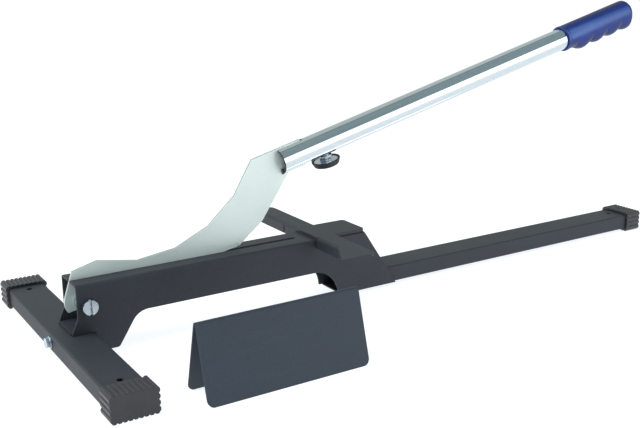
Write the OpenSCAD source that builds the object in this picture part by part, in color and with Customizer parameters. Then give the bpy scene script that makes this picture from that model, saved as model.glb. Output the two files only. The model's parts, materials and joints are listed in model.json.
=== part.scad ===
// Lever cutter for laminate flooring.
// Origin: on the bench, under the middle of the front cross tube.
// X runs along the frame to the rear, Y across it, Z up.

/* [Base tubes] */
// Width of both rectangular tubes
tube_w = 40; // [30:1:60]
// Height of both rectangular tubes
tube_h = 20; // [16:1:30]
// Wall of both rectangular tubes
tube_wall = 1.5; // [1:0.25:3]
// Outside corner radius of both rectangular tubes
tube_r = 2.5; // [1.8:0.1:4]
// Cut length of the front cross tube
cross_tube_len = 353; // [340:1:500]
// Cut length of the rear tube
rear_tube_len = 510; // [300:1:700]
// Length of the rear tube held inside the channel
rear_tube_grip = 79.5; // [40:0.5:80]

/* [Bench screw holes] */
// Diameter of the screw holes in the tubes
screw_hole_d = 6.5; // [4:0.5:9]
// Distance between the two holes in the cross tube
screw_spacing = 286; // [200:1:290]
// Distance from the end of the rear tube to its hole
rear_screw_inset = 35.5; // [30:0.5:60]

/* [Tube end caps] */
// Length of an end cap along its tube
cap_len = 25.5; // [15:1:27]
// Wall of an end cap, between the tube and the roots of its ribs
cap_wall = 2.2; // [1.5:0.1:4]
// Height of the ribs on a cap
cap_rib_h = 1.2; // [0.5:0.1:1.6]
// Thickness of the closed end of a cap
cap_end = 3; // [1.5:0.25:6]
// Gap between cap and tube
cap_fit = 0.1; // [0.05:0.05:0.3]
// Corner radius of a cap
cap_r = 3; // [1:0.5:5]
// Ribs across the wide faces of a cap
cap_ribs_wide = 9; // [6:1:12]
// Ribs across the narrow faces of a cap
cap_ribs_narrow = 4; // [3:1:6]

/* [Channel] */
// Sheet thickness of the channel
sheet = 2.5; // [1.5:0.25:4]
// Height of the channel's top above the bench
channel_top = 75.5; // [70:1:95]
// Gap between a tube's side and the channel wall
channel_fit = 0.3; // [0.1:0.05:0.5]
// Outside radius of the two long bends
bend_r = 4; // [3:0.5:8]
// Width of the blade slot in the channel's top
slot_w = 5; // [4:0.5:9]
// Distance from the cross tube's middle to the rear end of the slot
slot_end = 268; // [255:1:275]
// Distance from the cross tube's middle back to the front edge of the walls
front_edge = 3; // [0:1:8]
// Height at which the front edge starts to slope forward
front_slope_top = 40.5; // [36:1:50]
// Overhang of the foot in front of the cross tube's middle
foot_front = 4.5; // [0:1:10]
// Length of the front leg behind the cross tube
leg_len = 24; // [15:1:35]
// Height of the front leg's foot above the bench
leg_foot = 1.8; // [1:0.1:3]
// Height of the arch below the channel
arch_h = 36.5; // [31:0.5:40]
// Slope of the front leg's rear edge, in degrees
arch_slope = 57; // [45:1:80]
// Radius of the arch at the front leg
arch_front_r = 20; // [8:1:25]
// Radius of the arch at the rear leg
arch_rear_r = 34; // [15:1:36]
// Radius of the lower corner between the front leg and the arch
leg_r = 4; // [1:0.5:6]
// Rear end of the arch at bench level
arch_end = 313; // [290:1:316]
// Rear end of the channel's top
channel_end = 349; // [345:1:360]
// Slope of the channel's rear edge, in degrees
rear_slope = 57; // [45:1:80]

/* [Front foot] */
// Sheet thickness of the foot bracket
bracket_t = 2.5; // [1.5:0.25:4]
// Thread diameter of the foot bolt
foot_bolt_d = 6; // [5:1:8]
// Length of the foot bolt under its head
foot_bolt_len = 50; // [50:1:70]

/* [Fence] */
// Plate thickness of the fence
fence_t = 3.5; // [2:0.25:5]
// Distance from the cross tube's middle to the fence's front
fence_front = 283; // [276:1:290]
// Depth of the cross bar of the fence
fence_bar = 24; // [18:1:28]
// Distance from the channel's middle to the near end of the cross bar
fence_near = 107.5; // [95:1:130]
// Distance from the channel's middle to the far end of the cross bar
fence_far = 124; // [80:1:150]
// Depth of the front lip below the fence's top
fence_lip = 13; // [8:0.5:15]
// Outside radius of the bend between the fence and its lips
fence_bend_r = 3.5; // [1:0.5:5]
// Distance from the channel's middle to the end of the near lip, where the wing flares
flare_start = 68; // [50:1:90]
// Forward reach of the flared near wing
flare_reach = 21; // [5:1:25]
// Place of the relief cut in the far lip
relief_y = 50; // [35:1:65]
// Width of the relief cut
relief_w = 2; // [1:0.5:4]
// Corner radius of the fence plate
fence_r = 8; // [2:0.5:12]

/* [Pivot] */
// Distance from the cross tube's middle to the pivot
pivot_x = 15.5; // [14:0.5:20]
// Height of the pivot
pivot_z = 51.5; // [50:0.5:53]
// Diameter of the pivot bolt
pivot_d = 8; // [6:0.5:10]
// Diameter of the pivot bolt's slotted head
pivot_head_d = 16; // [14:0.5:20]
// Height of the pivot bolt's slotted head
pivot_head_h = 5; // [4:0.5:8]
// Radial clearance of the running fits
run_fit = 0.05; // [0.02:0.01:0.1]
// Outside diameter of the spacer tubes beside the blade
spacer_d = 18; // [12:0.5:20]
// Side play between a spacer and the blade
side_play = 0.1; // [0.05:0.05:0.3]

/* [Blade] */
// Blade thickness
blade_t = 3; // [2:0.25:4]
// Radius of the blade's eye around the pivot
eye_r = 18.5; // [17:0.5:22]
// Depth of the cutting edge below the pivot
edge_under = 7.5; // [7:0.5:12]
// Depth of the cutting edge's rear end below the pivot
edge_drop = 19.5; // [17:0.5:22]
// Distance from the pivot to the rear end of the cutting edge
edge_len = 180; // [150:1:200]
// Height of the blade's front corner above the pivot
crown_h = 33.5; // [26:1:36]
// Radius of the scooped back of the blade
back_r = 145; // [130:1:160]
// Distance from the pivot to the middle of the scoop
back_mid = 107; // [100:1:112]
// Height of the scoop's bottom above the pivot
back_low = 10; // [2:1:16]
// Number of straight cuts along the scoop
back_cuts = 5; // [3:1:12]
// Depth of the ground bevel at the cutting edge
bevel_h = 5; // [2:0.5:8]

/* [Lever] */
// Angle of the lever above level, as it stands
lever_angle = 14.6; // [5:0.1:40]
// Angle of the lever above level, when its stop rests on the fence
stop_angle = 0.3; // [0:0.1:2]
// Diameter of the lever tube
lever_d = 28; // [22:0.5:30]
// Wall of the lever tube
lever_wall = 2; // [1.5:0.25:3]
// Height of the lever's axis above the pivot when it is level
lever_rise = 52.5; // [50:0.25:60]
// Distance from the pivot to the lower end of the lever tube
lever_start = 256; // [248:1:264]
// Length of the lever tube
lever_len = 559; // [350:1:800]
// Length of the blade's tongue inside the tube
tongue_len = 30; // [20:1:34]
// How far the tongue stands out above and below the tube
tongue_proud = 1.5; // [0.5:0.25:3]
// Length of the grip
grip_len = 123; // [112:1:180]
// Wall of the grip
grip_wall = 2; // [2:0.1:5]
// Thickness of the grip's closed end
grip_end = 3; // [2:0.5:6]
// Number of finger ridges below the grip
finger_count = 4; // [1:1:4]
// Distance from one finger ridge to the next
finger_pitch = 27.5; // [22:0.5:30]
// Height of the finger ridges
finger_h = 5.5; // [3:0.1:7]

/* [Stop foot] */
// Distance from the pivot to the stop foot
stop_x = 313.5; // [308:0.5:330]
// Thread diameter of the stop's stud
stud_d = 8; // [6:0.5:10]
// Diameter of the stop's washer
stop_washer_d = 16; // [14:1:24]
// Thickness of the stop's washer
stop_washer_t = 1.5; // [1:0.25:3]
// Height of the stop's lock nut
stop_nut_h = 5; // [4:0.5:7]
// Diameter of the rubber pad at its top
pad_d = 34; // [31:1:42]
// Diameter of the rubber pad at its bottom
pad_bottom_d = 29; // [24:1:34]
// Diameter of the steel plate in the pad
stop_plate_d = 28; // [22:1:30]
// Thickness of the steel plate in the pad
stop_plate_t = 1.5; // [1:0.25:2.5]
// Gap left between pad and fence when the lever is down
pad_rest_gap = 0.35; // [0.1:0.05:1]

/* [Loose support] */
// Length of the loose support
support_len = 175; // [100:5:250]
// Front end of the loose support
support_x = 61; // [50:1:100]
// Distance from the channel's middle to the support's ridge
support_y = 174; // [150:1:250]
// Height of the loose support
support_h = 75; // [70:1:95]
// Width of the loose support at the bench
support_w = 46; // [35:1:60]
// Sheet thickness of the loose support
support_t = 2; // [1.5:0.25:3]
// Radius of the support's lower corners
support_r = 7; // [4:1:20]

/* [Hidden] */

$fn = 96;
frame_grey = "#474b52";
cap_black = "#2b2b2d";
zinc = "#b9c2c8";
steel = "#c9d6d2";
rubber_black = "#1d1c1e";
// Overrun of every cut
cut = 1;

// What is cut off the round tops of the cap ribs
cap_rib_flat = 0.2;

// Least inside corner radius of the rectangular tubes
tube_least_r = 0.3;

// Heights of the tubes, which the caps hold off the bench
tube_z = cap_rib_h + cap_wall + cap_fit;
tube_top = tube_z + tube_h;
tube_mid = tube_z + tube_h / 2;
tube_half_w = tube_w / 2;

// Outside and inside half widths of the channel
wall_in = tube_half_w + channel_fit;
wall_out = wall_in + sheet;
channel_w = 2 * wall_out;
bend_in = bend_r - sheet;

// Places along X
leg_front = tube_half_w + channel_fit;
leg_back = leg_front + leg_len;
arch_top_x = leg_back + (arch_h - leg_foot) / tan(arch_slope);
arch_tangent = arch_front_r * tan(arch_slope / 2);
leg_tangent = leg_r * tan(arch_slope / 2);
rear_foot_x = channel_end + (channel_top - tube_z) / tan(rear_slope);
rear_tube_x = rear_foot_x - rear_tube_grip;
rear_tube_end = rear_tube_x + rear_tube_len;

// Foot bolt hardware
foot_hole_play = 0.4;
foot_hole_d = foot_bolt_d + foot_hole_play;
foot_washer_od = 12.5;
foot_washer_t = 1.6;
foot_head_af = 10;
foot_head_h = 4;
foot_nut_h = 5;
bracket_gap = 0.1;
bracket_x = leg_front;
bracket_side_gap = 0.2;
bracket_w = 2 * (wall_in - bracket_side_gap);

// Pivot hardware
pivot_hole_d = pivot_d + 2 * run_fit;
head_slot_w = 2.6;
head_slot_h = 3;
pivot_washer_od = 16;
pivot_washer_t = 1.6;
pivot_nut_af = 13;
pivot_nut_h = 6.5;
pivot_thread_out = 2.5;
spacer_len = wall_in - blade_t / 2 - side_play;

// Fence outline
fence_z = channel_top;
fence_top = fence_z + fence_t;
fence_back = fence_front + fence_bar;
lip_side_gap = 0.5;
stem_r = 4;

// Lever, in the blade's own frame with the pivot at zero and the lever level
lever_end = lever_start + lever_len;
lever_r = lever_d / 2;
tongue_end = lever_start + tongue_len;
tongue_top = lever_rise + lever_r + tongue_proud;
tongue_bottom = lever_rise - lever_r - tongue_proud;
tongue_fit = 0.1;
heel_slope = 24;
throat_slope = 41;
heel_len = 40;
heel_x = edge_len + heel_len * cos(heel_slope);
heel_z = -edge_drop + heel_len * sin(heel_slope);
edge_slope = atan((edge_drop - edge_under) / edge_len);
edge_run = edge_len / cos(edge_slope);
throat_x = heel_x + (tongue_bottom - heel_z) / tan(throat_slope);
back_centre_z = back_low + back_r;
horn_x = back_mid + sqrt(pow(back_r, 2) - pow(back_centre_z - tongue_top, 2));
crown_x = back_mid - sqrt(pow(back_r, 2) - pow(back_centre_z - crown_h, 2));
// The front edge runs from the crown's corner as a tangent of the eye
front_tangent_a = 90 + acos(eye_r / crown_h);
front_tangent = eye_r * [cos(front_tangent_a), sin(front_tangent_a)];
// Overrun of the strip that cuts the eye along the edge
edge_cut_h = 2 * eye_r;
bevel_start = 12;

// Grip
grip_fit = 0.1;
grip_in_r = lever_r + grip_fit;
grip_out_r = grip_in_r + grip_wall;
grip_x = lever_end + grip_fit + grip_end - grip_len;
grip_lip = 0.4;
grip_lip_len = 4;
// Share of the pitch that a finger ridge takes up, where it leaves the round grip
finger_share = 0.74;
finger_r = (pow(finger_pitch * finger_share / 2, 2) + pow(finger_h, 2)) / (2 * finger_h);
grip_edge_r = 6;
// Distance from the last ridge's middle to the end of the grip
finger_end = 12.5;
finger_last = grip_len - finger_end;

// Stop foot, measured down from the lever's axis
stop_skin_gap = 0.05;
stop_washer_top = lever_r + stop_skin_gap;
stop_nut_top = stop_washer_top + stop_washer_t;
stop_plate_top = stop_nut_top + stop_nut_h + side_play;
// The pad's rim stands above the plate in it
pad_rim = 1;
pad_top = stop_plate_top - pad_rim;
// The front edge of the pad's lower face stops just above the fence
pad_front = stop_x - pad_bottom_d / 2;
pad_face = (fence_top + pad_rest_gap - pivot_z - pad_front * sin(stop_angle)) / cos(stop_angle);
pad_bottom = lever_rise - pad_face;
stop_nut_af = 13;
insert_d = 11;
insert_fit = 0.1;
insert_len = 12;
stud_over = 3;
stud_up = insert_len + stud_over;
stud_fit = 0.05;
stop_washer_play = 0.6;
stop_washer_hole_d = stud_d + stop_washer_play;
plate_fit = 0.1;

// Loose support
support_bend_r = 3;
support_leg_a = atan((support_w / 2 - support_bend_r) / (support_h - support_bend_r));

// Points of an arc about c from angle a to angle b, in n steps
function arc(c, r, a, b, n) = [
    for (i = [0:n]) c + r * [cos(a + (b - a) * i / n), sin(a + (b - a) * i / n)]
];

// A shape drawn in X and Z, given a width across Y about y
module across(y, w) {
    translate([0, y + w / 2, 0]) rotate([90, 0, 0]) linear_extrude(w) children();
}

// A shape drawn in Y and Z, given a length along X from x
module along(x, l) {
    translate([x, 0, 0]) rotate([90, 0, 90]) linear_extrude(l) children();
}

// A cylinder across Y, centred on y
module pin_across(d, y, w) {
    translate([0, y, 0]) rotate([90, 0, 0]) cylinder(d = d, h = w, center = true);
}

// A six-sided head or nut, af across its flats
module hex(af, h) {
    cylinder(d = af / cos(30), h = h, $fn = 6);
}

// Everything on the lever, drawn level about the pivot, stands at the lever's angle
module on_lever() {
    translate([pivot_x, 0, pivot_z]) rotate([0, -lever_angle, 0]) children();
}

// The stop foot is drawn downwards from the lever's axis
module under_lever() {
    on_lever() translate([stop_x, 0, lever_rise]) mirror([0, 0, 1]) children();
}

// Rectangle with round corners, about its own middle
module round_rect(w, h, r) {
    square([w - 2 * r, h], center = true);
    square([w, h - 2 * r], center = true);
    for (x = [-1, 1], y = [-1, 1]) translate([x * (w / 2 - r), y * (h / 2 - r)]) circle(r);
}

// Rectangular tube along X from zero
module box_tube(l) {
    translate([0, 0, tube_h / 2]) difference() {
        along(0, l) round_rect(tube_w, tube_h, tube_r);
        along(-cut, l + 2 * cut) round_rect(
            tube_w - 2 * tube_wall, tube_h - 2 * tube_wall, max(tube_r - tube_wall, tube_least_r));
    }
}

// Ribs for one pair of opposite faces, each face span long and reach from the middle
module rib_rows(span, reach, count) {
    pitch = span / count;
    for (i = [0:count - 1], s = [-1, 1])
        translate([pitch * (i + 0.5) - span / 2, s * (reach + cap_rib_h + cap_rib_flat - pitch / 2)])
            circle(d = pitch);
}

// Ribbed cap on the end of a tube that ends at x = 0 and stands at tube_z
module end_cap() {
    in_w = tube_w + 2 * cap_fit;
    in_h = tube_h + 2 * cap_fit;
    w = in_w + 2 * cap_wall;
    h = in_h + 2 * cap_wall;
    x0 = cap_fit + cap_end - cap_len;
    translate([0, 0, tube_mid]) difference() {
        union() {
            along(x0, cap_len) round_rect(w, h, cap_r);
            // Round ribs side by side, a little flat on top
            along(x0, cap_len) intersection() {
                square([w + 2 * cap_rib_h, h + 2 * cap_rib_h], center = true);
                union() {
                    rib_rows(w, h / 2, cap_ribs_wide);
                    rotate(90) rib_rows(h, w / 2, cap_ribs_narrow);
                }
            }
        }
        translate([x0 - cut, -in_w / 2, -in_h / 2]) cube([cap_len - cap_end + cut, in_w, in_h]);
    }
}

// Screw hole right through a tube at x, y
module screw_hole(x, y) {
    translate([x, y, tube_z - cut]) cylinder(d = screw_hole_d, h = tube_h + 2 * cut);
}

module front_tube() {
    color(frame_grey) difference() {
        rotate([0, 0, 90]) translate([-cross_tube_len / 2, 0, tube_z]) box_tube(cross_tube_len);
        for (s = [-1, 1]) screw_hole(0, s * screw_spacing / 2);
        translate([-tube_half_w - cut, 0, tube_mid]) rotate([0, 90, 0])
            cylinder(d = foot_hole_d, h = tube_w + 2 * cut);
    }
}

module near_front_cap() {
    color(cap_black) translate([0, -cross_tube_len / 2, 0]) rotate([0, 0, -90]) end_cap();
}

module far_front_cap() {
    color(cap_black) translate([0, cross_tube_len / 2, 0]) rotate([0, 0, 90]) end_cap();
}

module rear_tube() {
    color(frame_grey) difference() {
        translate([rear_tube_x, 0, tube_z]) box_tube(rear_tube_len);
        screw_hole(rear_tube_end - rear_screw_inset, 0);
    }
}

module rear_cap() {
    color(cap_black) translate([rear_tube_end, 0, 0]) end_cap();
}

// Rounded top of a bent channel, half width w and height h with bend radius r
module bent_top(w, h, r) {
    translate([-w, 0]) square([2 * w, h - r]);
    translate([-w + r, 0]) square([2 * (w - r), h]);
    for (s = [-1, 1]) translate([s * (w - r), h - r]) circle(r);
}

// Outline of the channel's side
module channel_side() {
    difference() {
        union() {
            polygon([
                [front_edge, channel_top], [front_edge, front_slope_top],
                [-foot_front, tube_top], [leg_front, tube_top], [leg_front, leg_foot],
                [leg_back, leg_foot], [arch_top_x, arch_h], [leg_back + leg_len, tube_top],
                [channel_end, tube_top], [channel_end, channel_top]
            ]);
            translate([leg_back, tube_z]) square([rear_foot_x - leg_back, channel_top - tube_z]);
        }
        // Below the arch
        difference() {
            polygon([
                [leg_back, leg_foot - cut], [leg_back, leg_foot],
                [arch_top_x - arch_tangent * cos(arch_slope), arch_h - arch_tangent * sin(arch_slope)],
                [arch_top_x + arch_tangent, arch_h],
                [arch_end, arch_h], [arch_end, leg_foot - cut]
            ]);
            // Square corner over the rear leg, before its round is put back
            translate([arch_end - arch_rear_r, arch_h - arch_rear_r])
                square([arch_rear_r + cut, arch_rear_r + cut]);
        }
        translate([arch_top_x + arch_tangent, arch_h - arch_front_r]) circle(arch_front_r);
        intersection() {
            translate([arch_end - arch_rear_r, arch_h - arch_rear_r]) circle(arch_rear_r);
            translate([arch_end - arch_rear_r, arch_h - arch_rear_r]) square(arch_rear_r + cut);
        }
        // Rounded corner between the front leg and the arch
        difference() {
            polygon([
                [leg_back - leg_tangent, leg_foot], [leg_back + cut, leg_foot - cut],
                [leg_back + leg_tangent * cos(arch_slope), leg_foot + leg_tangent * sin(arch_slope)]
            ]);
            translate([leg_back - leg_tangent, leg_foot + leg_r]) circle(leg_r);
        }
        // Sloped rear edge
        polygon([
            [rear_foot_x, tube_z], [rear_foot_x + cut, tube_z - cut],
            [rear_foot_x + cut, channel_top + cut], [channel_end, channel_top + cut],
            [channel_end, channel_top]
        ]);
    }
}

module body_channel() {
    color(frame_grey) difference() {
        intersection() {
            along(-foot_front - cut, rear_foot_x + foot_front + 2 * cut) difference() {
                bent_top(wall_out, channel_top, bend_r);
                translate([0, -cut]) bent_top(wall_in, channel_top - sheet + cut, bend_in);
            }
            across(0, channel_w + 2 * cut) channel_side();
        }
        translate([0, 0, channel_top - sheet - cut]) {
            translate([-foot_front, -slot_w / 2, 0])
                cube([foot_front + slot_end - slot_w / 2, slot_w, sheet + 2 * cut]);
            translate([slot_end - slot_w / 2, 0, 0]) cylinder(d = slot_w, h = sheet + 2 * cut);
        }
        translate([pivot_x, 0, pivot_z]) pin_across(pivot_hole_d, 0, channel_w + 2 * cut);
    }
}

// Bent plate that sits on the cross tube and hangs behind it, inside the channel
module foot_bracket() {
    bracket_z = tube_top + bracket_gap;
    color(frame_grey) difference() {
        across(0, bracket_w) polygon([
            [-foot_front, bracket_z], [bracket_x, bracket_z], [bracket_x, tube_z],
            [bracket_x + bracket_t, tube_z], [bracket_x + bracket_t, bracket_z + bracket_t],
            [-foot_front, bracket_z + bracket_t]
        ]);
        translate([bracket_x - cut, 0, tube_mid]) rotate([0, 90, 0])
            cylinder(d = foot_hole_d, h = bracket_t + 2 * cut);
    }
}

// Foot bolt hardware is drawn along X from the front face of the cross tube
module at_foot_bolt(x) {
    translate([-tube_half_w + x, 0, tube_mid]) rotate([0, 90, 0]) children();
}

module foot_washer() {
    color(zinc) at_foot_bolt(-foot_washer_t) difference() {
        cylinder(d = foot_washer_od, h = foot_washer_t);
        translate([0, 0, -cut]) cylinder(d = foot_hole_d, h = foot_washer_t + 2 * cut);
    }
}

module foot_bolt() {
    color(zinc) at_foot_bolt(-foot_washer_t - foot_head_h) {
        hex(foot_head_af, foot_head_h);
        cylinder(d = foot_bolt_d, h = foot_head_h + foot_bolt_len);
    }
}

module foot_nut() {
    color(zinc) translate([bracket_x + bracket_t, 0, tube_mid]) rotate([0, 90, 0]) difference() {
        hex(foot_head_af, foot_nut_h);
        translate([0, 0, -cut]) cylinder(d = foot_bolt_d + 2 * run_fit, h = foot_nut_h + 2 * cut);
    }
}

// Plan of the fence: a stem on the channel and a cross bar with a flared near wing
module fence_plan() {
    wing_x = fence_front - flare_reach;
    polygon(concat(
        [[wing_x, -fence_near], [fence_front, -flare_start], [fence_front, fence_far]],
        arc([fence_back - fence_r, fence_far - fence_r], fence_r, 90, 0, 6),
        [[fence_back, wall_out]],
        arc([channel_end - stem_r, wall_out - stem_r], stem_r, 90, 0, 6),
        arc([channel_end - stem_r, -wall_out + stem_r], stem_r, 0, -90, 6),
        [[fence_back, -wall_out]],
        arc([fence_back - fence_r, -fence_near + fence_r], fence_r, 0, -90, 6)
    ));
}

// What is taken off the fence's top front edge to round it, along Y from y
module bend_round(y, w) {
    across(y + w / 2, w) difference() {
        translate([fence_front - cut, fence_top - fence_bend_r]) square(fence_bend_r + cut);
        translate([fence_front + fence_bend_r, fence_top - fence_bend_r]) circle(fence_bend_r);
    }
}

module fence_plate() {
    lip_z = fence_top - fence_lip;
    side = wall_out + lip_side_gap;
    color(frame_grey) difference() {
        union() {
            translate([0, 0, fence_z]) linear_extrude(fence_t) fence_plan();
            translate([fence_front, -flare_start, lip_z]) cube([fence_t, flare_start - side, fence_lip]);
            translate([fence_front, side, lip_z]) cube([fence_t, fence_far - side, fence_lip]);
        }
        translate([fence_front - cut, relief_y, lip_z - cut])
            cube([fence_t + 2 * cut, relief_w, fence_lip - fence_t + cut]);
        // Outside of the bend above each lip
        bend_round(-flare_start, flare_start - side);
        bend_round(side, fence_far - side + cut);
    }
}

module pivot_bolt() {
    shank = 2 * wall_out + pivot_washer_t + pivot_nut_h + pivot_thread_out;
    color(zinc) translate([pivot_x, 0, pivot_z]) difference() {
        union() {
            pin_across(pivot_head_d, -wall_out - pivot_head_h / 2, pivot_head_h);
            pin_across(pivot_d, -wall_out + shank / 2, shank);
        }
        translate([-head_slot_w / 2, -wall_out - pivot_head_h - cut, -pivot_head_d])
            cube([head_slot_w, head_slot_h + cut, 2 * pivot_head_d]);
    }
}

module near_spacer() {
    color(zinc) translate([pivot_x, 0, pivot_z]) difference() {
        pin_across(spacer_d, -wall_in + spacer_len / 2, spacer_len);
        pin_across(pivot_hole_d, -wall_in + spacer_len / 2, spacer_len + 2 * cut);
    }
}

module far_spacer() {
    color(zinc) translate([pivot_x, 0, pivot_z]) difference() {
        pin_across(spacer_d, wall_in - spacer_len / 2, spacer_len);
        pin_across(pivot_hole_d, wall_in - spacer_len / 2, spacer_len + 2 * cut);
    }
}

module pivot_washer() {
    color(zinc) translate([pivot_x, 0, pivot_z]) difference() {
        pin_across(pivot_washer_od, wall_out + pivot_washer_t / 2, pivot_washer_t);
        pin_across(pivot_hole_d, wall_out + pivot_washer_t / 2, pivot_washer_t + 2 * cut);
    }
}

module pivot_nut() {
    y = wall_out + pivot_washer_t;
    color(zinc) translate([pivot_x, 0, pivot_z]) difference() {
        translate([0, y, 0]) rotate([-90, 0, 0]) hex(pivot_nut_af, pivot_nut_h);
        pin_across(pivot_hole_d, y + pivot_nut_h / 2, pivot_nut_h + 2 * cut);
    }
}

// Side of the blade, with the pivot at zero and the lever level
module blade_side() {
    back_a = atan2(crown_h - back_centre_z, crown_x - back_mid);
    back_b = atan2(tongue_top - back_centre_z, horn_x - back_mid);
    difference() {
        circle(eye_r);
        // The straight edge cuts the round eye off
        translate([0, -edge_under]) rotate(-edge_slope) translate([-edge_len, -edge_cut_h])
            square([2 * edge_len, edge_cut_h]);
    }
    polygon(concat(
        [[0, -edge_under], [edge_len, -edge_drop], [heel_x, heel_z], [throat_x, tongue_bottom],
            [tongue_end, tongue_bottom], [tongue_end, tongue_top]],
        arc([back_mid, back_centre_z], back_r, back_b, back_a, back_cuts),
        [[0, crown_h], front_tangent]
    ));
}

module blade() {
    color(steel) on_lever() difference() {
        across(0, blade_t) blade_side();
        pin_across(pivot_hole_d, 0, blade_t + 2 * cut);
        // Bevel ground on the near face of the cutting edge
        translate([0, 0, -edge_under]) rotate([0, edge_slope, 0])
            along(bevel_start, edge_run - bevel_start + cut) polygon([
                [0, -cut], [-blade_t, -cut], [-blade_t, bevel_h], [-blade_t / 2, bevel_h], [0, 0]
            ]);
    }
}

module lever_tube() {
    color(zinc) on_lever() difference() {
        translate([lever_start, 0, lever_rise]) rotate([0, 90, 0]) cylinder(d = lever_d, h = lever_len);
        translate([lever_start - cut, 0, lever_rise]) rotate([0, 90, 0])
            cylinder(r = lever_r - lever_wall, h = lever_len + 2 * cut);
        // Slot for the blade's tongue
        translate([lever_start - cut, -blade_t / 2 - tongue_fit, lever_rise - lever_d])
            cube([tongue_len + tongue_fit + cut, blade_t + 2 * tongue_fit, 2 * lever_d]);
        // Hole for the threaded insert, in the lower wall
        translate([stop_x, 0, lever_rise - lever_r - cut])
            cylinder(d = insert_d + 2 * insert_fit, h = lever_r + cut);
    }
}

module lever_grip() {
    color("#2f3f96") on_lever() translate([0, 0, lever_rise]) difference() {
        union() {
            translate([grip_x, 0, 0]) rotate([0, 90, 0]) rotate_extrude() polygon(concat(
                [[0, 0], [grip_out_r, 0], [grip_out_r + grip_lip, grip_lip],
                    [grip_out_r + grip_lip, grip_lip_len], [grip_out_r, grip_lip_len + grip_lip]],
                arc([grip_out_r - grip_edge_r, grip_len - grip_edge_r], grip_edge_r, 0, 90, 5),
                [[0, grip_len]]
            ));
            // Round knobs between the fingers
            for (i = [0:finger_count - 1])
                translate([grip_x + finger_last - i * finger_pitch, 0, finger_r - grip_out_r - finger_h])
                    sphere(finger_r);
        }
        translate([grip_x - cut, 0, 0]) rotate([0, 90, 0])
            cylinder(r = grip_in_r, h = grip_len - grip_end + cut);
    }
}

// Threaded insert in the lower wall of the lever tube
module stop_insert() {
    color(zinc) under_lever() difference() {
        translate([0, 0, lever_r - insert_len]) cylinder(d = insert_d, h = insert_len);
        translate([0, 0, lever_r - insert_len - cut])
            cylinder(d = stud_d + 2 * stud_fit, h = insert_len + 2 * cut);
    }
}

module stop_washer() {
    color(zinc) under_lever() translate([0, 0, stop_washer_top]) difference() {
        cylinder(d = stop_washer_d, h = stop_washer_t);
        translate([0, 0, -cut]) cylinder(d = stop_washer_hole_d, h = stop_washer_t + 2 * cut);
    }
}

module stop_nut() {
    color(zinc) under_lever() translate([0, 0, stop_nut_top]) difference() {
        hex(stop_nut_af, stop_nut_h);
        translate([0, 0, -cut]) cylinder(d = stud_d + 2 * stud_fit, h = stop_nut_h + 2 * cut);
    }
}

module stop_stud() {
    color(zinc) under_lever() translate([0, 0, lever_r - stud_up])
        cylinder(d = stud_d, h = stop_plate_top + stop_plate_t - lever_r + stud_up);
}

module stop_plate() {
    color(steel) under_lever() translate([0, 0, stop_plate_top]) difference() {
        cylinder(d = stop_plate_d, h = stop_plate_t);
        translate([0, 0, -cut]) cylinder(d = stud_d + 2 * plate_fit, h = stop_plate_t + 2 * cut);
    }
}

module stop_pad() {
    color(rubber_black) under_lever() difference() {
        translate([0, 0, pad_top]) cylinder(d1 = pad_d, d2 = pad_bottom_d, h = pad_bottom - pad_top);
        translate([0, 0, pad_top - cut])
            cylinder(d = stop_plate_d + 2 * plate_fit, h = pad_rim + stop_plate_t + cut);
    }
}

// Section of the loose support: two legs that lean on each other at a rounded ridge
module support_section() {
    a = support_leg_a;
    reach = 2 * support_h;
    ridge = [0, support_h - support_bend_r];
    r_out = support_bend_r;
    r_in = support_bend_r - support_t;
    left_out = ridge + r_out * [-cos(a), sin(a)] + reach * [-sin(a), -cos(a)];
    left_in = ridge + r_in * [-cos(a), sin(a)] + reach * [-sin(a), -cos(a)];
    polygon(concat(
        [left_out], arc(ridge, r_out, 180 - a, a, 10), [[-left_out[0], left_out[1]]],
        [[-left_in[0], left_in[1]]], arc(ridge, r_in, a, 180 - a, 10), [left_in]
    ));
}

module support_plate() {
    color("#4b525a") translate([support_x, -support_y, 0]) intersection() {
        along(0, support_len) support_section();
        across(0, 2 * support_w) {
            translate([support_r, 0]) square([support_len - 2 * support_r, support_h + cut]);
            translate([0, support_r]) square([support_len, support_h]);
            for (x = [support_r, support_len - support_r]) translate([x, support_r]) circle(support_r);
        }
    }
}

front_tube();
near_front_cap();
far_front_cap();
rear_tube();
rear_cap();
body_channel();
foot_bracket();
foot_bolt();
foot_washer();
foot_nut();
fence_plate();
pivot_bolt();
near_spacer();
far_spacer();
pivot_washer();
pivot_nut();
blade();
lever_tube();
lever_grip();
stop_insert();
stop_washer();
stop_nut();
stop_stud();
stop_plate();
stop_pad();
support_plate();
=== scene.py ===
"""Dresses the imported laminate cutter: its finishes, rounded edges, grip, thread and welds, and the studio."""

import json
import math
import random

import bmesh
import bpy
from mathutils import Matrix, Vector

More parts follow.
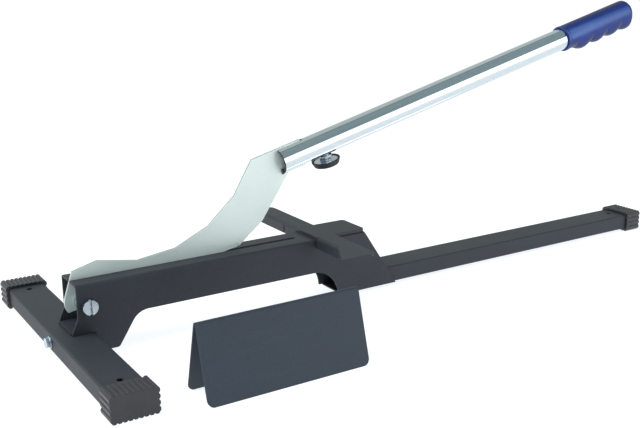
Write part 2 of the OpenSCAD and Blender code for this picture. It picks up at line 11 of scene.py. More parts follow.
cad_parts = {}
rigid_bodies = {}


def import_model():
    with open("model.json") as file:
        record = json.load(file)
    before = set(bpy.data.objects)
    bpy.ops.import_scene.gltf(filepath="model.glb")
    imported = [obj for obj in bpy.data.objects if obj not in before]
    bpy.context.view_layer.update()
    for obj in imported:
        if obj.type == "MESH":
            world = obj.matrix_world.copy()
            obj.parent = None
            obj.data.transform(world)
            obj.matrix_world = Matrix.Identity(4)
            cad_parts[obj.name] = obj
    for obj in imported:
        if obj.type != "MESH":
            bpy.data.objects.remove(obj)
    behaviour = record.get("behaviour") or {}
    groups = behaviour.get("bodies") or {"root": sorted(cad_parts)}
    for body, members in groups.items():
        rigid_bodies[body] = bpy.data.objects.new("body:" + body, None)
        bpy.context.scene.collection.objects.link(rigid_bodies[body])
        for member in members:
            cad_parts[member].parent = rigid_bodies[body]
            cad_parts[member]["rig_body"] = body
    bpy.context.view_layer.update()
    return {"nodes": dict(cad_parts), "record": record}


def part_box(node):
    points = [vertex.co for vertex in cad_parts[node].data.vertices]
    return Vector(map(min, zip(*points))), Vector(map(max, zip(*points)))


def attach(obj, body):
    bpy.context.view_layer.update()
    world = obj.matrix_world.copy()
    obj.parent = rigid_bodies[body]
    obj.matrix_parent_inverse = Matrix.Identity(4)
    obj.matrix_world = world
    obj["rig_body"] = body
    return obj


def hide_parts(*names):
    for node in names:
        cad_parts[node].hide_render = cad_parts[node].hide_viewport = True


bl_info = {
    "name": "Laminate Cutter Dresser",
    "version": (1, 0, 0),
    "blender": (4, 5, 0),
    "location": "View3D > Sidebar > Cutter",
    "description": "Gives the laminate cutter its finishes, rounded edges, grip, thread, welds and studio",
    "category": "Object",
}

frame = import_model()
SLOTS = {part["node"]: part["material_slot"] for part in frame["record"]["subparts"]}

MM = 0.001
TAU = 2 * math.pi
# The pivot, the lever's angle above level at rest, and places on the lever, along it and above its line
PIVOT = Vector((15.5 * MM, 0, 51.5 * MM))
LEVER_ANGLE = math.radians(14.6)
LEVER = Matrix.Translation(PIVOT) @ Matrix.Rotation(-LEVER_ANGLE, 4, "Y")
LEVER_RISE = 52.5 * MM
LEVER_START = 256 * MM
LEVER_TUBE_R = 14 * MM
TONGUE_END = LEVER_START + 30 * MM
BLADE_T = 3 * MM
# The pivot bolt's thread, which stops a part of a turn short of the bolt's end, and its steps to a turn
THREAD_R = 3.98 * MM
THREAD_PITCH = 1.25 * MM
THREAD_SHORT = 0.6
THREAD_STEPS = 24
# The camera that was fitted to the photograph
CAMERA_PLACE = Vector((-265.589 * MM, -912.001 * MM, 395.145 * MM))
CAMERA_TURN = (math.radians(-31.910), math.radians(15.447), math.radians(-0.55))


class CutterFinishes(bpy.types.PropertyGroup):
    """Colours of the finishes, as sRGB hex values."""
    coat: bpy.props.StringProperty(name="Powder coat", description="Frame's powder coat", default="#32363d")
    support_coat: bpy.props.StringProperty(
        name="Support coat", description="Powder coat of the loose support", default="#373f4a")
    caps: bpy.props.StringProperty(
        name="Caps", description="Moulded plastic of the tube caps", default="#2b2c30")
    zinc: bpy.props.StringProperty(
        name="Zinc", description="Bright zinc plate of the fixings", default="#c3ced6")
    blade: bpy.props.StringProperty(name="Blade", description="Ground steel of the blade", default="#e3eee8")
    tube: bpy.props.StringProperty(
        name="Lever tube", description="Polished plate of the lever tube", default="#ccd4d8")
    grip: bpy.props.StringProperty(name="Grip", description="Soft vinyl of the grip", default="#1d3277")
    rubber: bpy.props.StringProperty(name="Rubber", description="Rubber of the stop's pad", default="#161618")


class CutterSizes(bpy.types.PropertyGroup):
    """Sizes of the small forms that the drawing leaves sharp."""
    sheet_edge: bpy.props.FloatProperty(
        name="Sheet edge", description="Rounding of cut sheet edges", default=0.45 * MM, unit="LENGTH")
    cap_edge: bpy.props.FloatProperty(
        name="Cap edge", description="Rounding of the caps' edges", default=0.3 * MM, unit="LENGTH")
    fixing_edge: bpy.props.FloatProperty(
        name="Fixing edge", description="Chamfer of nuts, heads and washers", default=0.5 * MM, unit="LENGTH")
    blade_edge: bpy.props.FloatProperty(
        name="Blade edge", description="Rounding of the blade's outline", default=0.25 * MM, unit="LENGTH")
    pad_edge: bpy.props.FloatProperty(
        name="Pad edge", description="Rounding of the rubber pad", default=0.9 * MM, unit="LENGTH")


class CutterStudio(bpy.types.PropertyGroup):
    """Camera and lights."""
    lens: bpy.props.FloatProperty(
        name="Lens", description="Focal length on a 36 mm sensor", default=54.131, subtype="DISTANCE_CAMERA")
    key: bpy.props.FloatProperty(
        name="Key", description="Power of the soft light above at the left", default=30.0, unit="POWER")
    side: bpy.props.FloatProperty(
        name="Side", description="Power of the light at the left", default=0.9, unit="POWER")
    screen: bpy.props.FloatProperty(
        name="Screen", description="Power of the screen that streaks the lever", default=15.0, unit="POWER")
    sky: bpy.props.FloatProperty(name="Sky", description="Strength of the light from all round", default=1.0)
    board: bpy.props.FloatProperty(name="Board", description="Glow of the lit white board", default=0.9)


def settings():
    """The finishes, the sizes and the studio values that the panel shows."""
    scene = bpy.context.scene
    return scene.cutter_finishes, scene.cutter_sizes, scene.cutter_studio


def linear(code):
    """Linear colour, with alpha, of an sRGB hex value."""
    parts = [int(code[i:i + 2], 16) / 255 for i in (1, 3, 5)]
    return (*(c / 12.92 if c <= 0.04045 else ((c + 0.055) / 1.055) ** 2.4 for c in parts), 1.0)


def add_node(tree, kind, values=None, links=None):
    """A new node with its settings and links. A key is a socket's name or number, a property, or stops,
    which are a ramp's places and tones."""
    node = tree.nodes.new(kind)
    for key, value in (values or {}).items():
        if key == "stops":
            while len(node.color_ramp.elements) < len(value):
                node.color_ramp.elements.new(0.5)
            for element, (position, tone) in zip(node.color_ramp.elements, value):
                element.position = position
                element.color = tone if isinstance(tone, tuple) else (tone, tone, tone, 1)
        elif isinstance(key, int) or key in node.inputs:
            node.inputs[key].default_value = value
        else:
            setattr(node, key, value)
    for key, source in (links or {}).items():
        tree.links.new(source, node.inputs[key])
    return node


def new_material(name):
    """An empty material with its shader, output and object coordinates."""
    material = bpy.data.materials.new(name)
    material.use_nodes = True
    tree = material.node_tree
    tree.nodes.clear()
    shader = add_node(tree, "ShaderNodeBsdfPrincipled")
    add_node(tree, "ShaderNodeOutputMaterial", links={"Surface": shader.outputs["BSDF"]})
    place = add_node(tree, "ShaderNodeTexCoord")
    return material, tree, shader, place.outputs["Object"]


def shade(colour, factor):
    """The colour made darker or lighter, its alpha left at one."""
    return (*(min(1.0, c * factor) for c in colour[:3]), 1.0)


def patches(tree, place, scale, stops, detail=3.0, stretch=(1, 1, 1)):
    """Uneven patches over a piece: their height and their tone. The scale is in patches per metre, and
    a stretch below one draws them out along an axis."""
    field = add_node(tree, "ShaderNodeMapping", {"Scale": stretch}, {"Vector": place})
    height = add_node(
        tree, "ShaderNodeTexNoise", {"Scale": scale, "Detail": detail, "Roughness": 0.6},
        {"Vector": field.outputs["Vector"]}).outputs["Fac"]
    tone = add_node(tree, "ShaderNodeValToRGB", {"stops": stops}, {"Fac": height})
    return height, tone.outputs["Color"]


def relief(tree, shader, height, strength, depth):
    """Turns a pattern's height into the relief of the surface."""
    lift = add_node(tree, "ShaderNodeBump", {"Strength": strength, "Distance": depth}, {"Height": height})
    tree.links.new(lift.outputs["Normal"], shader.inputs["Normal"])


def powder_coat(name, code):
    """Polyester powder coat on steel: a dull, finely pebbled skin, thin and rubbed bright on cut edges."""
    colour = linear(code)
    material, tree, shader, place = new_material(name)
    cloud, tint = patches(tree, place, 14, [(0.3, shade(colour, 0.85)), (0.7, shade(colour, 1.15))])
    # Pebbles of about 1 mm, coarser than the real 0.3 mm so that they show
    pebble, speck = patches(tree, place, 950, [(0.35, shade(colour, 0.7)), (0.62, shade(colour, 1.3))])
    # Scuffs along the frame from planks and hands
    scuff = patches(tree, place, 90, [(0.6, 0.0), (0.72, 0.2)], 5.0, (0.12, 1, 1))[1]
    # Rubbed patches on the rounded edges
    edge = add_node(tree, "ShaderNodeAttribute", {"attribute_name": "edge"}).outputs["Fac"]
    worn = patches(tree, place, 220, [(0.45, 0.0), (0.62, 0.6)], 4.0)[1]
    rubbed = add_node(tree, "ShaderNodeMath", {"operation": "MULTIPLY"}, {0: edge, 1: worn}).outputs[0]
    body = add_node(
        tree, "ShaderNodeMix", {"data_type": "RGBA", 0: 0.4}, {6: tint, 7: speck}).outputs[2]
    scuffed = add_node(
        tree, "ShaderNodeMix", {"data_type": "RGBA", 7: shade(colour, 1.7)}, {0: scuff, 6: body}).outputs[2]
    coat = add_node(
        tree, "ShaderNodeMix", {"data_type": "RGBA", 7: shade(colour, 3.5)},
        {0: rubbed, 6: scuffed}).outputs[2]
    tree.links.new(coat, shader.inputs["Base Color"])
    gloss = add_node(tree, "ShaderNodeValToRGB", {"stops": [(0.2, 0.48), (0.8, 0.62)]}, {"Fac": cloud})
    tree.links.new(gloss.outputs["Color"], shader.inputs["Roughness"])
    relief(tree, shader, pebble, 0.35, 0.12 * MM)
    shader.inputs["IOR"].default_value = 1.5
    # The pebbled skin throws little back at a low angle
    shader.inputs["Specular IOR Level"].default_value = 0.3
    return material


def moulded_plastic(name, code):
    """Polypropylene caps: matt from a spark-eroded mould, the ribs polished a little by handling."""
    colour = linear(code)
    material, tree, shader, place = new_material(name)
    marks, tint = patches(tree, place, 55, [(0.3, shade(colour, 0.8)), (0.75, shade(colour, 1.35))], 5.0)
    gloss = add_node(tree, "ShaderNodeValToRGB", {"stops": [(0.3, 0.3), (0.7, 0.46)]}, {"Fac": marks})
    tree.links.new(tint, shader.inputs["Base Color"])
    tree.links.new(gloss.outputs["Color"], shader.inputs["Roughness"])
    relief(tree, shader, patches(tree, place, 1400, [(0, 0.0), (1, 1.0)], 2.0)[0], 0.3, 0.06 * MM)
    shader.inputs["IOR"].default_value = 1.49
    return material


def zinc_plate(name, code):
    """Blue-passivated zinc on small turned and pressed fixings: bright and faintly clouded."""
    colour = linear(code)
    material, tree, shader, place = new_material(name)
    cloud, tint = patches(tree, place, 160, [(0.3, shade(colour, 0.78)), (0.7, shade(colour, 1.05))], 4.0)
    gloss = add_node(tree, "ShaderNodeValToRGB", {"stops": [(0.25, 0.2), (0.75, 0.34)]}, {"Fac": cloud})
    tree.links.new(tint, shader.inputs["Base Color"])
    tree.links.new(gloss.outputs["Color"], shader.inputs["Roughness"])
    relief(tree, shader, patches(tree, place, 1800, [(0, 0.0), (1, 1.0)], 2.0)[0], 0.15, 0.03 * MM)
    shader.inputs["Metallic"].default_value = 1.0
    return material


def ground_steel(name, code):
    """Tool steel ground across its width: fine streaks, a dull, pale greenish sheen, a few scratches."""
    colour = linear(code)
    material, tree, shader, place = new_material(name)
    # Grinding streaks about 0.5 mm apart, coarser than real ones so that they show
    streak, tone = patches(
        tree, place, 60, [(0.3, shade(colour, 0.94)), (0.7, shade(colour, 1.03))], 3.0, (34, 1, 4))
    haze = patches(tree, place, 22, [(0.3, shade(colour, 0.93)), (0.75, shade(colour, 1.04))])[1]
    scratch = patches(tree, place, 420, [(0.7, 1.0), (0.74, 0.88)], 2.0, (0.06, 1, 0.9))[1]
    ground = add_node(tree, "ShaderNodeMix", {"data_type": "RGBA", 0: 0.5}, {6: tone, 7: haze}).outputs[2]
    marked = add_node(
        tree, "ShaderNodeMix", {"data_type": "RGBA", "blend_type": "MULTIPLY", 0: 1.0},
        {6: ground, 7: scratch})
    # The cut edges are bare metal without the pale skin
    raw = add_node(tree, "ShaderNodeAttribute", {"attribute_name": "raw"}).outputs["Fac"]
    skin = add_node(
        tree, "ShaderNodeMix", {"data_type": "RGBA", 7: shade(colour, 0.74)}, {0: raw, 6: marked.outputs[2]})
    tree.links.new(skin.outputs[2], shader.inputs["Base Color"])
    gloss = add_node(tree, "ShaderNodeValToRGB", {"stops": [(0.2, 0.32), (0.8, 0.4)]}, {"Fac": streak})
    tree.links.new(gloss.outputs["Color"], shader.inputs["Roughness"])
    relief(tree, shader, streak, 0.015, 0.03 * MM)
    # The grinding and the thin passive skin scatter most of the light, so the metal counts for a fifth
    share = add_node(tree, "ShaderNodeMapRange", {"To Min": 0.2, "To Max": 1.0}, {"Value": raw})
    tree.links.new(share.outputs["Result"], shader.inputs["Metallic"])
    return material


def polished_plate(name, code):
    """Bright plated steel tube: mirror-like, a little hazy, with faint polishing lines along the tube, and a
    bore painted near black as painted shade.
    """
    colour = linear(code)
    material, tree, shader, place = new_material(name)
    level = add_node(
        tree, "ShaderNodeMapping", {"Rotation": (0, -LEVER_ANGLE, 0)}, {"Vector": place}).outputs["Vector"]
    line, tint = patches(
        tree, level, 500, [(0.3, shade(colour, 0.93)), (0.7, shade(colour, 1.02))], 2.0, (0.02, 1, 1))
    haze = patches(tree, place, 40, [(0.3, 0.07), (0.75, 0.16)])[1]
    # The bore is painted near black, as painted shade inside the tube
    raw = add_node(tree, "ShaderNodeAttribute", {"attribute_name": "raw"}).outputs["Fac"]
    plate = add_node(tree, "ShaderNodeMix", {"data_type": "RGBA", 7: linear("#2c2d2b")}, {0: raw, 6: tint})
    tree.links.new(plate.outputs[2], shader.inputs["Base Color"])
    tree.links.new(haze, shader.inputs["Roughness"])
    relief(tree, shader, line, 0.05, 0.02 * MM)
    shader.inputs["Metallic"].default_value = 1.0
    return material


def soft_vinyl(name, code):
    """Dip-moulded PVC grip: satin, slightly soft, with fine pits, hand-worn shine and a painted highlight along
    its middle.
    """
    colour = linear(code)
    material, tree, shader, place = new_material(name)
    wear, tint = patches(tree, place, 45, [(0.3, 0.88), (0.7, 1.0)])
    gloss = add_node(tree, "ShaderNodeValToRGB", {"stops": [(0.3, 0.3), (0.7, 0.38)]}, {"Fac": wear})
    # Painted highlight and shade: the colour is made pale along the side that faces the eye and deep blue
    # towards the rims
    turned = add_node(tree, "ShaderNodeLayerWeight", {"Blend": 0.5}).outputs["Facing"]
    depth = add_node(tree, "ShaderNodeValToRGB", {"stops": [
        (0.2, colour), (0.28, linear("#506caa")), (0.36, shade(colour, 1.3)),
        (0.5, shade(colour, 0.7)), (0.95, shade(colour, 0.4))]},
        {"Fac": turned})
    # The painted highlight and shade are multiplied by the wear tone
    worn = add_node(
        tree, "ShaderNodeMix", {"data_type": "RGBA", "blend_type": "MULTIPLY", 0: 1.0},
        {6: depth.outputs["Color"], 7: tint})
    tree.links.new(worn.outputs[2], shader.inputs["Base Color"])
    tree.links.new(gloss.outputs["Color"], shader.inputs["Roughness"])
    relief(tree, shader, patches(tree, place, 1100, [(0, 0.0), (1, 1.0)], 2.0)[0], 0.12, 0.05 * MM)
    shader.inputs["IOR"].default_value = 1.53
    # Skin oil and fine pits take some of the shine
    shader.inputs["Specular IOR Level"].default_value = 0.2
    return material


def black_rubber(name, code):
    """Moulded rubber pad: matt black with a grey bloom."""
    colour = linear(code)
    material, tree, shader, place = new_material(name)
    bloom, tint = patches(tree, place, 90, [(0.35, colour), (0.8, shade(colour, 2.4))], 5.0)
    tree.links.new(tint, shader.inputs["Base Color"])
    relief(tree, shader, bloom, 0.25, 0.06 * MM)
    shader.inputs["Roughness"].default_value = 0.6
    shader.inputs["IOR"].default_value = 1.52
    return material


def scorched_weld(name, code):
    """Weld metal, left as it cooled: rippled, dull, with brown and blue heat tints."""
    material, tree, shader, place = new_material(name)
    ripple, tint = patches(
        tree, place, 420, [(0.3, linear("#4a443f")), (0.5, linear(code)), (0.7, linear("#56606c"))])
    tree.links.new(tint, shader.inputs["Base Color"])
    relief(tree, shader, ripple, 0.5, 0.1 * MM)
    shader.inputs["Metallic"].default_value = 0.9
    shader.inputs["Roughness"].default_value = 0.48
    return material


MAKERS = {
    "dark_paint": (powder_coat, "powder coated steel", "coat"),
    "support_paint": (powder_coat, "powder coated support", "support_coat"),
    "cap_plastic": (moulded_plastic, "moulded polypropylene", "caps"),
    "zinc_plate": (zinc_plate, "zinc plated steel", "zinc"),
    "blade_steel": (ground_steel, "ground tool steel", "blade"),
    "lever_plating": (polished_plate, "polished plated steel", "tube"),
    "grip_vinyl": (soft_vinyl, "dip moulded vinyl", "grip"),
    "pad_rubber": (black_rubber, "moulded rubber", "rubber"),
}


def finish_of(slot):
    """The material of one of the record's slots, made once."""
    make, name, key = MAKERS[slot]
    return bpy.data.materials.get(name) or make(name, getattr(settings()[0], key))


def node_copy(name):
    """A welded copy of a node's shape, its flat faces made whole."""
    bm = bmesh.new()
    bm.from_mesh(frame["nodes"][name].data)
    bmesh.ops.remove_doubles(bm, verts=bm.verts, dist=0.002 * MM)
    bmesh.ops.dissolve_limit(bm, angle_limit=math.radians(0.4), verts=bm.verts, edges=bm.edges)
    return bm


def round_edges(bm, width, segments, least):
    """Rounds the edges sharper than the least angle, and marks the new faces for the finish to read."""
    edges = [e for e in bm.edges if e.is_manifold and e.calc_face_angle() > math.radians(least)]
    made = bmesh.ops.bevel(
        bm, geom=edges, offset=width, offset_type="OFFSET", segments=segments, profile=0.5,
        affect="EDGES", clamp_overlap=True, material=-1)
    layer = bm.faces.layers.float.get("edge") or bm.faces.layers.float.new("edge")
    for face in made["faces"]:
        if face.is_valid:
            face[layer] = 1.0


def mark_bare_and_painted_shade(bm, bare_and_shade_faces):
    """Marks the faces that the finish leaves bare, and the lever tube's bore, whose finish paints it near black
    as painted shade.
    """
    layer = bm.faces.layers.float.new("raw")
    for face in bm.faces:
        face[layer] = 1.0 if bare_and_shade_faces(face) else 0.0


def finish_piece(name, bm, body, material, nodes=(), smooth=40):
    """Makes the piece's object, with its shading, body and material, and hides the nodes it stands for."""
    mesh = bpy.data.meshes.new(name)
    bm.to_mesh(mesh)
    bm.free()
    mesh.shade_smooth()
    mesh.set_sharp_from_angle(angle=math.radians(smooth))
    mesh.materials.append(material)
    piece = bpy.data.objects.new(name, mesh)
    bpy.context.scene.collection.objects.link(piece)
    weigh = piece.modifiers.new("even shading", "WEIGHTED_NORMAL")
    weigh.keep_sharp = True
    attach(piece, body)
    if nodes:
        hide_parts(*nodes)


def dress(node, width, segments=2, least=38, bare_and_shade_faces=None):
    """Stands for a node with the same shape, its edges rounded and its finish on."""
    bm = node_copy(node)
    round_edges(bm, width, segments, least)
    if bare_and_shade_faces:
        mark_bare_and_painted_shade(bm, bare_and_shade_faces)
    body = frame["nodes"][node]["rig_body"]
    slot = SLOTS[node]
    finish_piece(node + "_dressed", bm, body, finish_of(slot), (node,))


class CUTTER_OT_stage(bpy.types.Operator):
    """Sets up the camera, the pale floor and the soft lights"""
    bl_idname = "cutter.stage"
    bl_label = "Studio"

    def execute(self, context):
        studio = settings()[2]
        turn, tilt, roll = CAMERA_TURN
        level = math.cos(tilt)
        back = Vector((math.sin(turn) * level, -math.cos(turn) * level, math.sin(tilt)))
        right = (-back).cross(Vector((0, 0, 1))).normalized()
        up = right.cross(-back)
        side = right * math.cos(roll) + up * math.sin(roll)
        top = up * math.cos(roll) - right * math.sin(roll)
        lens = bpy.data.cameras.new("camera")
        lens.lens = studio.lens
        lens.sensor_width = 36
        lens.clip_end = 60
        camera = bpy.data.objects.new("camera", lens)
        axes = Matrix((side, top, back)).transposed().to_4x4()
        camera.matrix_world = Matrix.Translation(CAMERA_PLACE) @ axes
        context.scene.collection.objects.link(camera)
        context.scene.camera = camera
        self.floor(context, studio.board)
        self.lights(context, studio)
        self.surround(context, studio.sky)
        context.scene.view_settings.view_transform = "Standard"
        return {"FINISHED"}

    def floor(self, context, glow):
        """White seamless board, a little uneven in tone."""
        bm = bmesh.new()
        bmesh.ops.create_grid(bm, x_segments=8, y_segments=8, size=22)
        mesh = bpy.data.meshes.new("floor")
        bm.to_mesh(mesh)
        bm.free()
        material, tree, shader, place = new_material("lit white board")
        tree.links.new(patches(tree, place, 1.5, [(0.3, 0.33), (0.7, 0.37)])[1], shader.inputs["Base Color"])
        shader.inputs["Roughness"].default_value = 0.9
        shader.inputs["Specular IOR Level"].default_value = 0.1
        # The board is lit from below, so that hardly any shadow is left on it
        shader.inputs["Emission Color"].default_value = linear("#f8fbff")
        shader.inputs["Emission Strength"].default_value = glow
        mesh.materials.append(material)
        board = bpy.data.objects.new("floor", mesh)
        context.scene.collection.objects.link(board)

    def lights(self, context, studio):
        """Soft lights: name, place, what it is aimed at, size and power of each."""
        for name, place, aim, size, power in (
            ("key", (-1.0, 0.3, 1.7), (0.3, 0, 0.1), (1.6, 1.6), studio.key),
            ("side", (-1.5, -0.7, 0.8), (0.3, 0, 0.1), (0.9, 1.2), studio.side),
            ("screen", (1.75, -1.25, 0.56), (1.45, 0, 0.35), (2.1, 1.05), studio.screen),
        ):
            lamp = bpy.data.lights.new(name, "AREA")
            lamp.shape = "RECTANGLE"
            lamp.size, lamp.size_y = size
            lamp.energy = power
            light = bpy.data.objects.new(name, lamp)
            light.location = place
            light.rotation_mode = "QUATERNION"
            light.rotation_quaternion = (Vector(place) - Vector(aim)).to_track_quat("Z", "Y")
            context.scene.collection.objects.link(light)

    def surround(self, context, strength):
        """The studio's ceiling and walls, which light the tool from all round and show in its plating."""
        world = bpy.data.worlds.new("white studio")
        world.use_nodes = True
        world.node_tree.nodes.clear()
        tree = world.node_tree
        way = add_node(tree, "ShaderNodeTexCoord").outputs["Generated"]
        split = add_node(tree, "ShaderNodeSeparateXYZ", links={"Vector": way})
        across = add_node(tree, "ShaderNodeMapRange", {"From Min": -1.0}, {"Value": split.outputs["Y"]})
        # A grey ceiling on the near side, a darker joint over the tool and a paler wall behind
        tone = add_node(tree, "ShaderNodeValToRGB", {"stops": [
            (0.0, linear("#8d979c")), (0.1, linear("#97a5aa")), (0.53, linear("#9aaeb3")),
            (0.56, linear("#87938f")), (0.6, linear("#87938f")), (0.625, linear("#cdd4d1")),
            (1.0, linear("#d6dcda"))]}, {"Fac": across.outputs["Result"]})
        glow = add_node(
            tree, "ShaderNodeBackground", {"Strength": strength}, {"Color": tone.outputs["Color"]})
        add_node(tree, "ShaderNodeOutputWorld", links={"Surface": glow.outputs["Background"]})
        context.scene.world = world


class CUTTER_OT_tubes(bpy.types.Operator):
    """Dresses the two base tubes"""
    bl_idname = "cutter.tubes"
    bl_label = "Base tubes"

    def execute(self, context):
        edge = settings()[1].sheet_edge
        for node in ("front_tube", "rear_tube"):
            dress(node, edge * 0.6)
        return {"FINISHED"}


class CUTTER_OT_caps(bpy.types.Operator):
    """Dresses the ribbed caps on the tubes' ends"""
    bl_idname = "cutter.caps"
    bl_label = "Tube caps"

    def execute(self, context):
        for node in ("near_front_cap", "far_front_cap", "rear_cap"):
            dress(node, settings()[1].cap_edge, least=30)
        return {"FINISHED"}


class CUTTER_OT_channel(bpy.types.Operator):
    """Dresses the bent channel, its bracket and the fence"""
    bl_idname = "cutter.channel"
    bl_label = "Channel and fence"

    def execute(self, context):
        edge = settings()[1].sheet_edge
        for node in ("body_channel", "foot_bracket", "fence_plate"):
            dress(node, edge, segments=3)
        return {"FINISHED"}


class CUTTER_OT_fixings(bpy.types.Operator):
    """Dresses the foot bolt and the pivot, and cuts the thread that shows past the pivot's nut"""
    bl_idname = "cutter.fixings"
    bl_label = "Fixings"

    def execute(self, context):
        edge = settings()[1].fixing_edge
        for node in ("foot_bolt", "foot_nut", "pivot_nut"):
            dress(node, edge)
        dress("pivot_bolt", edge * 1.6, segments=4)
        for node in ("foot_washer", "pivot_washer", "near_spacer", "far_spacer"):
            dress(node, edge * 0.5)
        self.thread()
        return {"FINISHED"}

    def thread(self):
        """The ridge of the pivot bolt's thread, wound round the shank past the nut."""
        end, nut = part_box("pivot_bolt")[1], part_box("pivot_nut")[1]
        turns = (end.y - nut.y) / THREAD_PITCH - THREAD_SHORT
        steps = int(turns * THREAD_STEPS)
        foot, flank = THREAD_R - 0.55 * THREAD_PITCH, 0.42 * THREAD_PITCH
        bm = bmesh.new()
        corners = [bm.verts.new(v) for v in ((foot, 0, -flank), (THREAD_R, 0, 0), (foot, 0, flank))]
        section = bm.faces.new(corners)
        bmesh.ops.spin(
            bm, geom=[section, *section.edges, *section.verts], cent=(0, 0, 0), axis=(0, 0, 1),
            dvec=(0, 0, THREAD_PITCH * turns / steps), angle=TAU * turns, steps=steps,
            use_merge=False, use_duplicate=False)
        bmesh.ops.recalc_face_normals(bm, faces=bm.faces)
        across = Vector((0, 0, 1)).rotation_difference(Vector((0, 1, 0))).to_matrix().to_4x4()
        start = Matrix.Translation((PIVOT.x, nut.y + 0.2 * MM, PIVOT.z))
        bmesh.ops.transform(bm, matrix=start @ across, verts=bm.verts)
        finish_piece("pivot_thread", bm, "base", finish_of("zinc_plate"), smooth=30)


class CUTTER_OT_blade(bpy.types.Operator):
    """Dresses the blade and tacks it to the lever tube with welds"""
    bl_idname = "cutter.blade"
    bl_label = "Blade and welds"

    def execute(self, context):
        dress("blade", settings()[1].blade_edge, least=30, bare_and_shade_faces=self.on_rim)
        weld = scorched_weld("weld metal", "#6b6761")
        random.seed(7)
        bm = bmesh.new()
        # Beads that run out in a wedge where the tongue ends on the tube
        for side in (-1, 1):
            for i in range(7):
                height = LEVER_TUBE_R + (0.7 - i * 0.2) * MM
                self.bead(bm, TONGUE_END + (i * 0.7 - 1.5) * MM, 0, side * height, 1.3)
        mouth = LEVER_TUBE_R - 2.4 * MM
        for face in (-1, 1):
            # Beads on the tube's lower end, either side of the blade
            for i in range(6):
                depth = (0.2 + i * 0.8) * MM - LEVER_TUBE_R
                self.bead(bm, LEVER_START - 0.3 * MM, face * (BLADE_T / 2 + 0.7 * MM), depth, 1.6)
            # A run of beads inside the tube's mouth
            for i in range(17):
                turn = math.radians(-80 + i * 10)
                across = mouth * math.cos(turn) + 0.4 * MM
                self.bead(bm, LEVER_START + 1.6 * MM, face * across, mouth * math.sin(turn), 1.5)
        finish_piece("tongue_welds", bm, "lever", weld, smooth=60)
        return {"FINISHED"}

    def on_rim(self, face):
        """True on the plate's cut and ground edges."""
        return abs(face.normal.y) < 0.5

    def bead(self, bm, x, y, z, size):
        """A drop of weld metal on the lever, its size in mm."""
        drop = Vector((1.1, 0.9, 0.9)) * size * random.uniform(0.85, 1.15) * MM
        place = Matrix.Translation((x, y, LEVER_RISE + z))
        bmesh.ops.create_icosphere(
            bm, subdivisions=2, radius=1.0, matrix=LEVER @ place @ Matrix.Diagonal((*drop, 1)))


class CUTTER_OT_lever(bpy.types.Operator):
    """Dresses the lever tube"""
    bl_idname = "cutter.lever"
    bl_label = "Lever tube"

    def execute(self, context):
        # The bore is marked so that its finish paints it near black as painted shade
        dress("lever_tube", settings()[1].sheet_edge * 0.7, least=45, bare_and_shade_faces=self.in_bore)
        return {"FINISHED"}

    def in_bore(self, face):
        """True inside the tube."""
        place = LEVER.inverted() @ face.calc_center_median()
        return math.hypot(place.y, place.z - LEVER_RISE) < LEVER_TUBE_R - 1.5 * MM


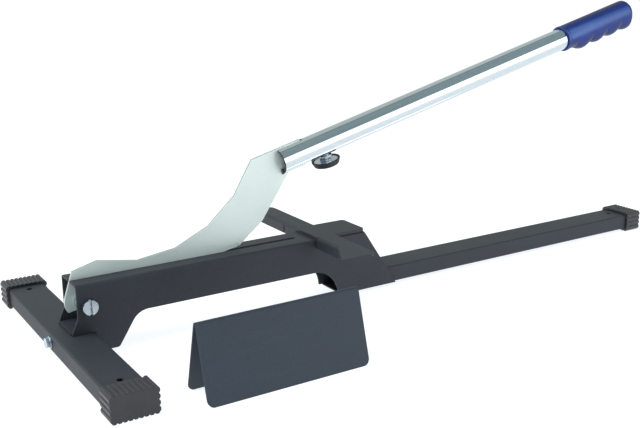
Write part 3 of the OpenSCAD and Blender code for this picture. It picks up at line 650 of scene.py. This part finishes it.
class CUTTER_OT_grip(bpy.types.Operator):
    """Moulds the grip, with knobs between the fingers"""
    bl_idname = "cutter.grip"
    bl_label = "Grip"

    front: bpy.props.FloatProperty(
        name="Front", description="Front end of the grip along the lever", default=695.1 * MM, unit="LENGTH")
    length: bpy.props.FloatProperty(
        name="Length", description="Length of the grip", default=123 * MM, unit="LENGTH")
    radius: bpy.props.FloatProperty(
        name="Radius", description="Radius of the round part", default=16.1 * MM, unit="LENGTH")
    bore: bpy.props.FloatProperty(name="Bore", description="Inside radius", default=14.1 * MM, unit="LENGTH")
    knob: bpy.props.FloatProperty(
        name="Knob", description="Height of a knob", default=6.2 * MM, unit="LENGTH")
    pitch: bpy.props.FloatProperty(
        name="Pitch", description="From knob to knob", default=27.5 * MM, unit="LENGTH")
    first: bpy.props.FloatProperty(
        name="First knob", description="Where the first knob starts", default=18.2 * MM, unit="LENGTH")

    def knob_height(self, x):
        """How far the underside stands out at a place: sharp valleys lie between round knobs."""
        way = (x - self.first) / self.pitch
        if way < 0:
            return 0.0
        return self.knob * max(0.0, math.sin(math.pi * (way % 1.0))) ** 0.75

    def profile(self):
        """The grip's half section from inside out: place, radius and share of the knobs' height."""
        wall, nose, rim = 3 * MM, 6 * MM, 4.6 * MM
        axis = 0.4 * MM
        back = self.length - nose
        rows = [
            (self.length - wall, axis, 0), (self.length - wall, self.bore, 0), (0.5 * MM, self.bore, 0),
            (0, self.bore + 0.5 * MM, 0), (0, self.radius - 0.3 * MM, 0)]
        # A low rolled rim at the front
        for x, lift in ((0.3, 0.2), (0.9, 0.38), (3.6, 0.38), (4.2, 0.2), (4.6, 0)):
            rows.append((x * MM, self.radius + lift * MM, 0))
        for i in range(1, 85):
            rows.append((rim + (back - rim) * i / 84, self.radius, 1))
        # The rounded back end, into which the last knob fades
        for i in range(1, 9):
            a = math.pi / 2 * i / 8
            rows.append((back + nose * math.sin(a), self.radius - nose * (1 - math.cos(a)), math.cos(a)))
        rows.append((self.length, axis, 0))
        return rows

    def execute(self, context):
        start, *rest = self.profile()
        bm = bmesh.new()
        made = bmesh.ops.create_circle(bm, cap_ends=True, segments=72, radius=1.0)
        bmesh.ops.rotate(bm, verts=made["verts"], matrix=Matrix.Rotation(math.pi / 2, 3, "Y"))
        ring = set(made["verts"])
        self.shape(ring, *start)
        for row in rest:
            edges = [e for e in bm.edges if e.verts[0] in ring and e.verts[1] in ring]
            grown = bmesh.ops.extrude_edge_only(bm, edges=edges)["geom"]
            ring = {v for v in grown if isinstance(v, bmesh.types.BMVert)}
            self.shape(ring, *row)
        bmesh.ops.holes_fill(bm, edges=[e for e in bm.edges if e.is_boundary], sides=0)
        bmesh.ops.recalc_face_normals(bm, faces=bm.faces)
        place = LEVER @ Matrix.Translation((self.front, 0, LEVER_RISE))
        bmesh.ops.transform(bm, matrix=place, verts=bm.verts)
        vinyl = finish_of("grip_vinyl")
        finish_piece("grip_moulded", bm, "lever", vinyl, ("lever_grip",), smooth=50)
        return {"FINISHED"}

    def shape(self, ring, x, radius, knobs):
        """Puts a ring of points at x, round, with the knob's height under it."""
        for v in ring:
            way = Vector((0, v.co.y, v.co.z)).normalized()
            down = max(0.0, -way.z)
            lift = knobs * self.knob_height(x) * down ** 2.4
            v.co = Vector((x, 0, 0)) + way * (radius + lift)


class CUTTER_OT_stop(bpy.types.Operator):
    """Dresses the adjustable stop under the lever"""
    bl_idname = "cutter.stop"
    bl_label = "Stop foot"

    def execute(self, context):
        sizes = settings()[1]
        for node in ("stop_insert", "stop_washer", "stop_plate"):
            dress(node, sizes.fixing_edge * 0.4)
        for node in ("stop_nut", "stop_stud"):
            dress(node, sizes.fixing_edge)
        dress("stop_pad", sizes.pad_edge, segments=4)
        return {"FINISHED"}


class CUTTER_OT_support(bpy.types.Operator):
    """Dresses the loose support"""
    bl_idname = "cutter.support"
    bl_label = "Loose support"

    def execute(self, context):
        dress("support_plate", settings()[1].sheet_edge, segments=3, least=45)
        return {"FINISHED"}


OPERATORS = (
    CUTTER_OT_stage, CUTTER_OT_tubes, CUTTER_OT_caps, CUTTER_OT_channel, CUTTER_OT_fixings,
    CUTTER_OT_blade, CUTTER_OT_lever, CUTTER_OT_grip, CUTTER_OT_stop, CUTTER_OT_support,
)


class CUTTER_PT_panel(bpy.types.Panel):
    """Lists the cutter's pieces in the sidebar"""
    bl_idname = "CUTTER_PT_panel"
    bl_label = "Laminate cutter"
    bl_space_type = "VIEW_3D"
    bl_region_type = "UI"
    bl_category = "Cutter"

    def draw(self, context):
        for group in settings():
            for key in group.__annotations__:
                self.layout.prop(group, key)
        for operator in OPERATORS:
            self.layout.operator(operator.bl_idname)


CLASSES = (CutterFinishes, CutterSizes, CutterStudio, *OPERATORS, CUTTER_PT_panel)


def register():
    for item in CLASSES:
        bpy.utils.register_class(item)
    bpy.types.Scene.cutter_finishes = bpy.props.PointerProperty(type=CutterFinishes)
    bpy.types.Scene.cutter_sizes = bpy.props.PointerProperty(type=CutterSizes)
    bpy.types.Scene.cutter_studio = bpy.props.PointerProperty(type=CutterStudio)


def unregister():
    for key in ("cutter_finishes", "cutter_sizes", "cutter_studio"):
        delattr(bpy.types.Scene, key)
    for item in reversed(CLASSES):
        bpy.utils.unregister_class(item)


def main():
    register()
    for operator in OPERATORS:
        group, name = operator.bl_idname.split(".")
        getattr(getattr(bpy.ops, group), name)()


if __name__ == "__main__":
    main()
